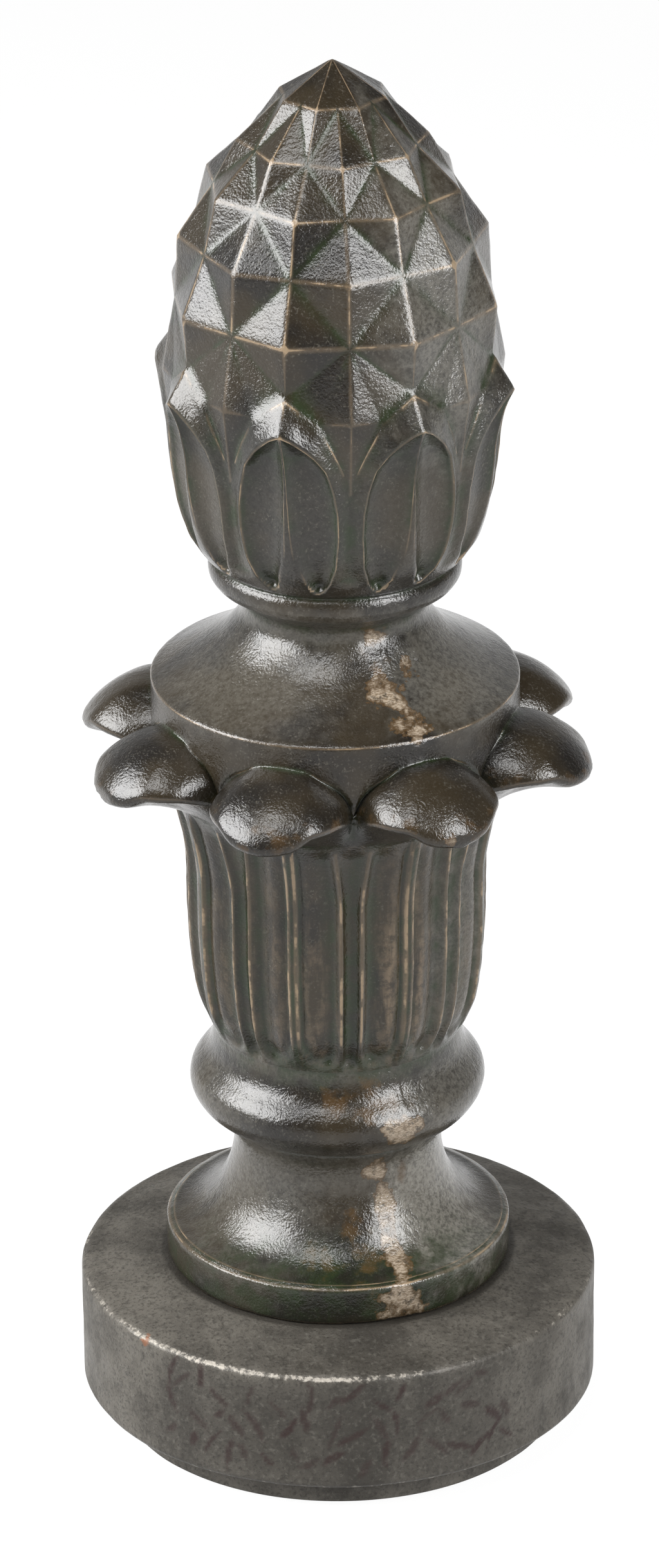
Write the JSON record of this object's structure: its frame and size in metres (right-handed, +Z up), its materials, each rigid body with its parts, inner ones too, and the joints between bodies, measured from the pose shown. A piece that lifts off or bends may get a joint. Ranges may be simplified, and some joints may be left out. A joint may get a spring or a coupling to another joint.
{
  "type": "pineapple finial",
  "caption": "Cast iron pineapple finial with a faceted cone, leaf cup, lobed fluted stem, torus and foot, standing on a round plinth.",
  "frame": {"origin": "centre of the plinth's underside, on the surface the object stands on", "axes": "+Z up along the finial's axis, +X to the right seen from the front, +Y to the back"},
  "size_m": [0.2016, 0.202, 0.5629],
  "materials": {
    "finial_iron": "dark brown-black cast iron under a clear glossy sealer, with worn edges",
    "plinth_iron": "grey-brown cast iron, dull, with worn bright edges"
  },
  "bodies": {
    "root": {"plinth": "plinth_iron", "finial": "finial_iron"}
  },
  "joints": []
}
